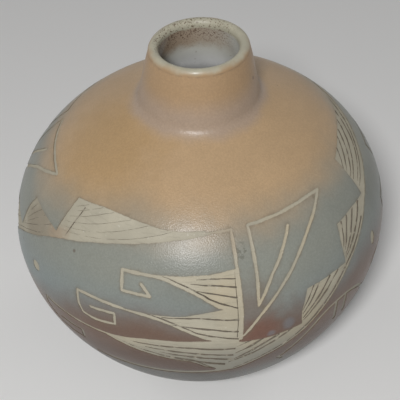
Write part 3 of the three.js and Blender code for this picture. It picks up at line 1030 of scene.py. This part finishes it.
def glaze_material():
    """Pale blue-grey glaze, yellower and stained near the lip, with brown specks there."""
    stain, speck, dot = (0.35, 0.26, 0.18), (0.12, 0.07, 0.045), (0.2, 0.15, 0.1)
    c = settings("vase_colours")
    r = MaterialRecipe("inside_glaze")
    height = r.axis("Z")
    cloudy = height + r.drift(200, 0.004, 3)
    stained = cloudy.band(0.1175, 0.1225) * r.back_of_mouth()
    specks = stained * cloudy.band(0.121, 0.126, 0.35, 1) * r.noise(1700, 3, roughness=0.6).band(0.52, 0.6)
    colour = r.painted(
        scaled(c.glaze, 0.87), (r.noise(90, 3).band(0.3, 0.7), scaled(c.glaze, 1.08)),
        (height.band(0.112, 0.12, 0, 0.7), scaled(c.glaze, 0.98, 0.97, 0.86)),
        (stained * r.axis("X").band(0.02, -0.006, 0.45, 0.9), stain), (specks * 0.8, speck),
        (r.noise(700, roughness=0.4, Location=(0.3, 0, 0)).band(0.7, 0.75, 0, 0.4), dot),
        (cloudy.band(0.1272, 0.129), scaled(c.worn_lip, 0.9)))
    return r.finish({
        "Base Color": colour, "Coat Weight": 0.35, "Coat Roughness": 0.08,
        "Roughness": r.noise(140).band(0.3, 0.7, 0.16, 0.28),
        "Normal": r.bump(r.noise(170), 0.12, 0.0005)})


def floor_material():
    """Plain pale studio floor, which the eye sees as paler than the vase does, and which
    fades into the backdrop."""
    c = settings("vase_colours")
    r = MaterialRecipe("pale_floor")
    seen = r.seen()
    away = r.node("ShaderNodeVectorMath", {0: r.place}, "Value", operation="LENGTH")
    far = seen * away.band(0.25, 1.1)
    colour = r.painted(
        scaled(c.floor, 0.985), (r.noise(3), c.floor), (seen, (0.88, 0.875, 0.865)), (far, BLACK))
    return r.finish({
        "Base Color": colour, "Emission Color": (*BACKDROP, 1), "Emission Strength": far,
        "Roughness": 0.8, "Specular IOR Level": 0.2})


class GeometryRecipe(Recipe):
    """Builds a Geometry Nodes tree with named inputs that ends in a plain mesh."""

    def __init__(self, name, **sizes):
        super().__init__(bpy.data.node_groups.new(name, "GeometryNodeTree"))
        interface = self.tree.interface
        interface.new_socket("Geometry", in_out="INPUT", socket_type="NodeSocketGeometry")
        self.keys = {}
        for label, kind in sizes.items():
            socket = interface.new_socket(label, in_out="INPUT", socket_type=f"NodeSocket{kind}")
            self.keys[label] = socket.identifier
        interface.new_socket("Geometry", in_out="OUTPUT", socket_type="NodeSocketGeometry")
        group = self.tree.nodes.new("NodeGroupInput")
        self.inputs = {label: Wire(self, group.outputs[label]) for label in ("Geometry", *sizes)}

    def circle(self, points, radius):
        """Closed ring of points."""
        return self.node("GeometryNodeCurvePrimitiveCircle", {"Resolution": points, "Radius": radius})

    def close(self, mesh, material):
        """Ends the tree."""
        real = self.node("GeometryNodeRealizeInstances", {"Geometry": mesh})
        dressed = self.node("GeometryNodeSetMaterial", {"Geometry": real, "Material": material})
        self.plug(self.tree.nodes.new("NodeGroupOutput").inputs["Geometry"], dressed)

    def apply(self, name, source, values):
        """Piece made by the tree from a source mesh."""
        carrier = linked(name + "_carrier", source)
        modifier = carrier.modifiers.new(name, "NODES")
        modifier.node_group = self.tree
        for label, value in values.items():
            modifier[self.keys[label]] = value
        graph = bpy.context.evaluated_depsgraph_get()
        mesh = bpy.data.meshes.new_from_object(carrier.evaluated_get(graph), depsgraph=graph)
        bpy.data.objects.remove(carrier)
        mesh.name = name
        return finished(name, mesh, mesh.materials[0], 60)


def turned_form_tree(material):
    """Tree that turns a profile in the XZ plane into a body of revolution that leans."""
    r = GeometryRecipe("turned form", Steps="Int", Swing="Float", Lean="Float", Upright="Float")
    profile = r.node("GeometryNodeMeshToCurve", {"Mesh": r.inputs["Geometry"]})
    ring = r.circle(r.inputs["Steps"], r.inputs["Swing"])
    body = r.node("GeometryNodeCurveToMesh", {"Curve": ring, "Profile Curve": profile})
    height = r.node("ShaderNodeSeparateXYZ", {"Vector": r.node("GeometryNodeInputPosition")}, "Z")
    rise = r.math("MAXIMUM", height - r.inputs["Upright"], 0.0)
    offset = r.node("ShaderNodeCombineXYZ", {"X": rise * r.inputs["Lean"]})
    leaning = r.node("GeometryNodeSetPosition", {"Geometry": body, "Offset": offset})
    r.close(r.node("GeometryNodeMergeByDistance", {"Geometry": leaning, "Distance": 1e-6}), material)
    return r


def ridge_tree(material):
    """Tree that gives each hatching line the body of a ridge, thin at its start."""
    r = GeometryRecipe("hatching ridges", Ridge="Float", Step="Float", Shake="Float", Sides="Int")
    lines = r.node("GeometryNodeMeshToCurve", {"Mesh": r.inputs["Geometry"]})
    even = r.node("GeometryNodeResampleCurve", {"Curve": lines, "Length": r.inputs["Step"]}, mode="LENGTH")
    along = r.node("GeometryNodeSplineParameter", output="Factor")
    rough = r.node("ShaderNodeTexNoise", {"Scale": 420.0, "Detail": 2.0})
    own = r.node("GeometryNodeInputNamedAttribute", {"Name": "size"}, data_type="FLOAT")
    swell = along.band(0.0, 0.35, 0.35, 1.0, "LINEAR") * rough.band(0.25, 0.75, 0.65, 1.35, "LINEAR")
    shake = r.node("ShaderNodeTexNoise", {"Scale": 260.0, "Detail": 1.0}, "Color")
    centred = r.node("ShaderNodeVectorMath", {0: shake, 1: (0.5, 0.5, 0.5)}, operation="SUBTRACT")
    nudge = r.node("ShaderNodeVectorMath", {0: centred, "Scale": r.inputs["Shake"]}, operation="SCALE")
    shaken = r.node("GeometryNodeSetPosition", {"Geometry": even, "Offset": nudge})
    ring = r.circle(r.inputs["Sides"], r.inputs["Ridge"])
    r.close(r.node("GeometryNodeCurveToMesh", {
        "Curve": shaken, "Profile Curve": ring, "Fill Caps": True, "Scale": swell * own}), material)
    return r


def polyline_mesh(name, lines):
    """Mesh of open lines through points in millimetres."""
    edges, first = [], 0
    for line in lines:
        edges.extend((first + i, first + i + 1) for i in range(len(line) - 1))
        first += len(line)
    return plain_mesh(name, np.vstack(lines), edges, [])


def spot_on(line, share):
    """Point at a share of the length of a flat line."""
    run = respaced(line, FOLLOW_STEP)
    return run[round((len(run) - 1) * min(max(share, 0), 1))]


def ray(start, end, bow):
    """Run of points between two flat points that bows to its left."""
    across = np.array((start[1] - end[1], end[0] - start[0]))
    return smooth_run([start, (start + end) / 2 + across * bow / 12, end], HATCH_STEP)


def hatching_lines(form, pattern, rng):
    """Flat run and size of every hatching ridge."""
    low_end, low_gap, low_size = 0.97, 0.7, 1.1
    sweep_size, base_line_size, top_step_size = 1.15, 0.5, 0.8
    runs = []
    for turn in UNIT_TURNS:
        strength = UNIT_HATCH[turn]

        def flat(points, turn=turn):
            return form.flat(moved(points, turn))

        def beside(points):
            edge = smooth_run(flat(points), FOLLOW_STEP)
            return edge + directions(edge, form.stretch(edge))[1] * pattern.line

        def shaken(line, share):
            return spot_on(line, share + rng.uniform(-HATCH_SHIFT, HATCH_SHIFT))

        for name, rays in WEDGE_RAYS.items():
            wedge = WEDGES[name]
            side = flat(wedge["side"])
            inner = beside(wedge["low"][:-1])
            last = spot_on(side, low_end) - (pattern.line * low_gap, 0)
            low = np.vstack((inner[len(inner) // 6:-16:12], last))
            runs.append((smooth_run(low, HATCH_STEP), low_size))
            tip = (inner[0] + flat(wedge["high"])[0]) / 2
            for start, end, size in rays:
                last = shaken(side, end) - (pattern.line * RAY_GAPS[name], 0)
                runs.append((ray(tip + (last - tip) * start, last, rng.uniform(0.2, 0.5)), size))
        for top, side, ridges in zip(STEPS[0::2], STEPS[1::2], STEP_RIDGES):
            for start, end, size in ridges:
                first, last = shaken(flat(side), start), shaken(flat(top[::-1]), end)
                first, last = first + (last - first) * 0.04, last + (first - last) * 0.02
                runs.append((ray(first, last, rng.uniform(-0.2, 0.2)), size * strength))
        edge = beside(SWEEP)
        runs.append((edge[:len(edge) // 2], strength * sweep_size))
        runs.append((smooth_run(flat(BASE_LINE_RIDGE), HATCH_STEP), base_line_size))
        if turn == UNIT_TURNS[0]:
            runs.append((smooth_run(flat(TOP_STEP_RIDGE), HATCH_STEP), top_step_size))
    return runs


def connected(faces):
    """Groups of faces that hang together, as arrays of face numbers."""
    parent = np.arange(faces.max() + 1)
    pairs = np.vstack((faces[:, [0, 1]], faces[:, [1, 2]]))
    before = None
    while not np.array_equal(parent, before):
        before = parent.copy()
        low = parent[pairs].min(axis=1)
        for points in (*parent[pairs].T, *pairs.T):
            np.minimum.at(parent, points, low)
        parent = parent[parent]
    roots = parent[faces[:, 0]]
    return [np.flatnonzero(roots == root) for root in np.unique(roots)]


def coat_shell(name, faces, material):
    """Thin closed coat over the clay, worn down a little along its rim."""
    kept_at_lip = 0.03
    wall = etched_wall()
    form, pattern = wall.form, wall.pattern
    used, local = np.unique(faces, return_inverse=True)
    count, local = len(used), local.reshape(-1, 3)
    rim = border_edges(local)
    on_rim = np.zeros(count)
    on_rim[np.unique(rim)] = 1
    turns, heights = wall.turns[used], wall.heights[used]
    thin = eased(heights, pattern.coat_top - pattern.lip_wear, pattern.coat_top)
    wear_and_rim_shade = thin * (pattern.coat - kept_at_lip) + on_rim * (thin < 0.5) * pattern.edge_drop
    outside = form.skin(turns, heights, wear_and_rim_shade)
    under = form.skin(turns, heights, np.full(count, pattern.coat))
    walls = [(b, a, a + count, b + count) for a, b in rim.tolist()]
    shell = [*local.tolist(), *(local[:, ::-1] + count).tolist(), *walls]
    obj = finished(name, plain_mesh(name, np.vstack((outside, under)), [], shell), material, 50)
    # rim is 1 on the coat's rim and cut walls, where the coat material paints shade mixed with wear
    set_attribute(obj.data, "rim", np.concatenate((on_rim, np.ones(count))))
    return obj


def ride_and_name(obj, slot, *nodes):
    """Seats a finished piece on the vase and hides the parts of model.glb that it stands for."""
    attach(obj, "root")
    if nodes:
        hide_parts(*nodes)


class VASE_OT_clay_body(bpy.types.Operator):
    """Make the four clay sections, carved where the coats are scraped"""

    bl_idname = "vase.clay_body"
    bl_label = "Clay Body"

    def execute(self, context):
        wall = etched_wall()
        form, sizes, coat = wall.form, wall.sizes, wall.pattern.coat
        scraped_clay = clay_material("scraped_clay", False)
        lip_clay = clay_material("lip_clay", True)
        floor_station = form.station(sizes.base, float(form.inside_depth(0)))
        low_inside = sizes.equator_height - sizes.seam_bevel
        high_inside = sizes.neck_seam - sizes.seam_bevel
        slab_inset, slab_drop, foot_bevel = 1, 0.05, ((0.35, 0.06), (0.9, 0.0))
        lip_rings, lip_squareness = 13, 0.9

        slab = Pot(0, sizes.base)
        rim_radius, rim_level = form.section(sizes.base, coat)
        top_level = rim_level - slab_drop
        top_ring = slab.ring(rim_radius - slab_inset, top_level)
        slab.join(slab.top, top_ring)
        slab.cap(top_ring, top_level)
        foot_radius = float(form.section(0.0, coat)[0])
        foot_rings = [slab.ring(foot_radius - inset, level) for inset, level in foot_bevel]
        slab.join(slab.bottom, *foot_rings)
        slab.cap(foot_rings[-1], 0.0)
        slab.finish("clay_foot", scraped_clay, "base_slab")

        bowl = Pot(sizes.base, sizes.equator_height)
        bowl.join(bowl.top, *bowl.inside(low_inside, floor_station, WALL_RINGS), bowl.bottom)
        bowl.finish("clay_bowl", scraped_clay, "lower_bowl")

        dome = Pot(sizes.equator_height, sizes.neck_seam)
        dome.join(dome.top, *dome.inside(high_inside, low_inside, WALL_RINGS), dome.bottom)
        dome.finish("clay_dome", scraped_clay, "upper_dome")

        neck = Pot(sizes.neck_seam, form.lip_height)
        outer = form.section(form.lip_height, coat)[0]
        inner, level = form.section(form.lip_height, form.inside_depth(form.lip_height))
        centre, half, rise = (outer + inner) / 2, (outer - inner) / 2, sizes.height - level
        lip = [
            neck.ring(centre + half * math.cos(a), level + rise * math.sin(a) ** lip_squareness)
            for a in np.linspace(0, math.pi, lip_rings + 2)[1:-1]
        ]
        outer_points = lip[len(lip) // 2][0]
        neck.join(neck.top, *lip, *neck.inside(form.lip_height, high_inside, NECK_RINGS), neck.bottom)
        neck.finish("clay_neck", lip_clay, "neck_collar", outer=np.arange(len(neck.points)) < outer_points)
        return {"FINISHED"}


class VASE_OT_coats(bpy.types.Operator):
    """Make the two sprayed coats that the scraping leaves standing"""

    bl_idname = "vase.coats"
    bl_label = "Sprayed Coats"

    def execute(self, context):
        wall = etched_wall()
        material = coat_material()
        faces = wall.faces[~wall.bare]
        split = wall.sizes.equator_height + 6
        upper, lower = [], []
        for part in connected(faces):
            side = upper if wall.heights[faces[part]].mean() > split else lower
            side.append(part)
        for name, ring, slot, parts in (
                ("upper_coat", "shoulder_coat", "tan_coat", upper),
                ("lower_coat", "foot_coat", "brown_coat", lower)):
            obj = coat_shell(name, faces[np.concatenate(parts)], material)
            ride_and_name(obj, slot, ring, *(f"{name}_panel_{i}" for i in (1, 2, 3)))
        return {"FINISHED"}


class VASE_OT_hatching(bpy.types.Operator):
    """Make the thin ridges of coat left between the scraped strokes"""

    bl_idname = "vase.hatching"
    bl_label = "Hatching Ridges"

    def execute(self, context):
        wall = etched_wall()
        form, pattern = wall.form, wall.pattern
        depth = pattern.coat + pattern.carving
        lines, sizes = [], []
        for run, size in hatching_lines(form, pattern, np.random.default_rng(pattern.seed + 1)):
            turns, heights = form.rolled(respaced(run, 0.6))
            lines.append(form.skin(turns, heights, np.full(len(turns), depth)))
            sizes.extend([size] * len(turns))
        source = polyline_mesh("hatching_lines", lines)
        set_attribute(source, "size", sizes)
        obj = ridge_tree(ridge_material()).apply("hatching_ridges", source, {
            "Ridge": pattern.ridge * MM, "Step": 0.9 * MM, "Shake": 0.5 * MM, "Sides": 6})
        ride_and_name(obj, "grey_coat")
        return {"FINISHED"}


class VASE_OT_glaze(bpy.types.Operator):
    """Make the glaze that lines the inside"""

    bl_idname = "vase.glaze"
    bl_label = "Inside Glaze"

    def execute(self, context):
        form = etched_wall().form
        sizes = form.sizes
        gap, thickness, samples, step, swing = 0.05, 0.45, 70, 1.6, 30.0
        top, back_floor, face_floor = form.lip_height - 0.3, sizes.base + 0.1, sizes.base + 0.6
        floor_depth = form.inside_depth(0)
        back_heights = np.linspace(form.station(back_floor, floor_depth + gap), top, samples)
        face_heights = np.linspace(top, form.station(face_floor, floor_depth + thickness), samples)
        back = form.section(back_heights, form.inside_depth(back_heights) + gap)
        thinning = thickness * np.clip((top - face_heights) / 4, 0.2, 1)
        face = form.section(face_heights, form.inside_depth(face_heights) + thinning)
        profile = np.vstack((
            respaced(np.vstack(([(0, back_floor)], np.column_stack(back))), step),
            respaced(np.vstack((np.column_stack(face), [(0, face_floor)])), step)))
        points = [(r - swing, -z, 0) for r, z in profile.tolist()]
        source = polyline_mesh("glaze_profile", [points])
        obj = turned_form_tree(glaze_material()).apply("inside_glaze", source, {
            "Steps": 144, "Swing": swing * MM, "Upright": sizes.equator_height * MM,
            "Lean": sizes.crown_lean / (sizes.height - sizes.equator_height)})
        ride_and_name(obj, "inside_glaze", "inner_glaze")
        return {"FINISHED"}


class VASE_OT_stage(bpy.types.Operator):
    """Set the floor, the camera and the lamps"""

    bl_idname = "vase.stage"
    bl_label = "Stage"

    def execute(self, context):
        scene = context.scene
        s = scene.vase_stage
        middle = Vector((0, 0, scene.vase_sizes.equator_height))
        mesh = bpy.data.meshes.new("floor")
        corners = [(-4, -4, 0), (4, -4, 0), (4, 4, 0), (-4, 4, 0)]
        mesh.from_pydata(corners, [], [(0, 1, 2, 3)])
        mesh.materials.append(floor_material())
        linked("floor", mesh)

        camera_data = bpy.data.cameras.new("camera")
        camera_data.lens = s.lens
        camera_data.shift_x = s.shift
        camera_data.clip_start = 0.01
        camera = linked("camera", camera_data)
        right, back = Vector((1, 0, 0)), Vector((0, -math.cos(s.tilt), math.sin(s.tilt)))
        up = Vector((0, math.sin(s.tilt), math.cos(s.tilt)))
        turned_right = right * math.cos(s.roll) + up * math.sin(s.roll)
        turned_up = up * math.cos(s.roll) - right * math.sin(s.roll)
        axes = Matrix((turned_right, turned_up, back)).transposed()
        place = middle + s.distance * Vector((0, -math.cos(s.elevation), math.sin(s.elevation)))
        camera.matrix_world = Matrix.Translation(place) @ axes.to_4x4()
        scene.camera = camera

        for name, spot, size, power in (
                ("key_lamp", (-0.087, -0.449, 0.522), 0.115, s.key_power),
                ("right_lamp", (0.85, 0.7, 0.3), 0.5, s.fill_power),
                ("left_lamp", (-0.85, 0.7, 0.3), 0.5, s.fill_power)):
            lamp_data = bpy.data.lights.new(name, "AREA")
            lamp_data.shape = "DISK"
            lamp_data.size = size
            lamp_data.energy = power
            lamp = linked(name, lamp_data)
            lamp.visible_glossy = name == "key_lamp"
            aim = (middle - Vector(spot)).to_track_quat("-Z", "Y").to_matrix().to_4x4()
            lamp.matrix_world = Matrix.Translation(spot) @ aim

        world = bpy.data.worlds.new("studio")
        world.use_nodes = True
        r = Recipe(world.node_tree)
        sky = world.node_tree.nodes["Background"]
        r.plug(sky.inputs["Color"], r.mix(r.seen(), (s.sky,) * 3, BACKDROP))
        scene.world = world
        scene.view_settings.view_transform = "Standard"
        return {"FINISHED"}


OPERATORS = (VASE_OT_clay_body, VASE_OT_coats, VASE_OT_hatching, VASE_OT_glaze, VASE_OT_stage)
GROUPS = {
    "vase_sizes": VaseSizes, "vase_pattern": PatternSettings,
    "vase_colours": VaseColours, "vase_stage": StageSettings,
}


class VASE_PT_panel(bpy.types.Panel):
    """Lists the makers of the vase's pieces and their settings"""

    bl_idname = "VASE_PT_panel"
    bl_label = "Etched Pottery Vase"
    bl_space_type = "VIEW_3D"
    bl_region_type = "UI"
    bl_category = "Vase"

    def draw(self, context):
        for operator in OPERATORS:
            self.layout.operator(operator.bl_idname)
        for name in GROUPS:
            box = self.layout.box()
            group = getattr(context.scene, name)
            box.label(text=group.bl_rna.name)
            for key, _ in own_settings(group):
                box.prop(group, key)


def register():
    """Registers the settings, the operators and the panel."""
    for name, group in GROUPS.items():
        bpy.utils.register_class(group)
        setattr(bpy.types.Scene, name, PointerProperty(type=group))
    for cls in (*OPERATORS, VASE_PT_panel):
        bpy.utils.register_class(cls)


def unregister():
    """Removes the settings, the operators and the panel."""
    for cls in (VASE_PT_panel, *reversed(OPERATORS)):
        bpy.utils.unregister_class(cls)
    for name, group in reversed(GROUPS.items()):
        delattr(bpy.types.Scene, name)
        bpy.utils.unregister_class(group)


def main():
    """Registers the add-on and builds the vase and its stage."""
    register()
    for operator in OPERATORS:
        group, name = operator.bl_idname.split(".")
        getattr(getattr(bpy.ops, group), name)()


if __name__ == "__main__":
    main()
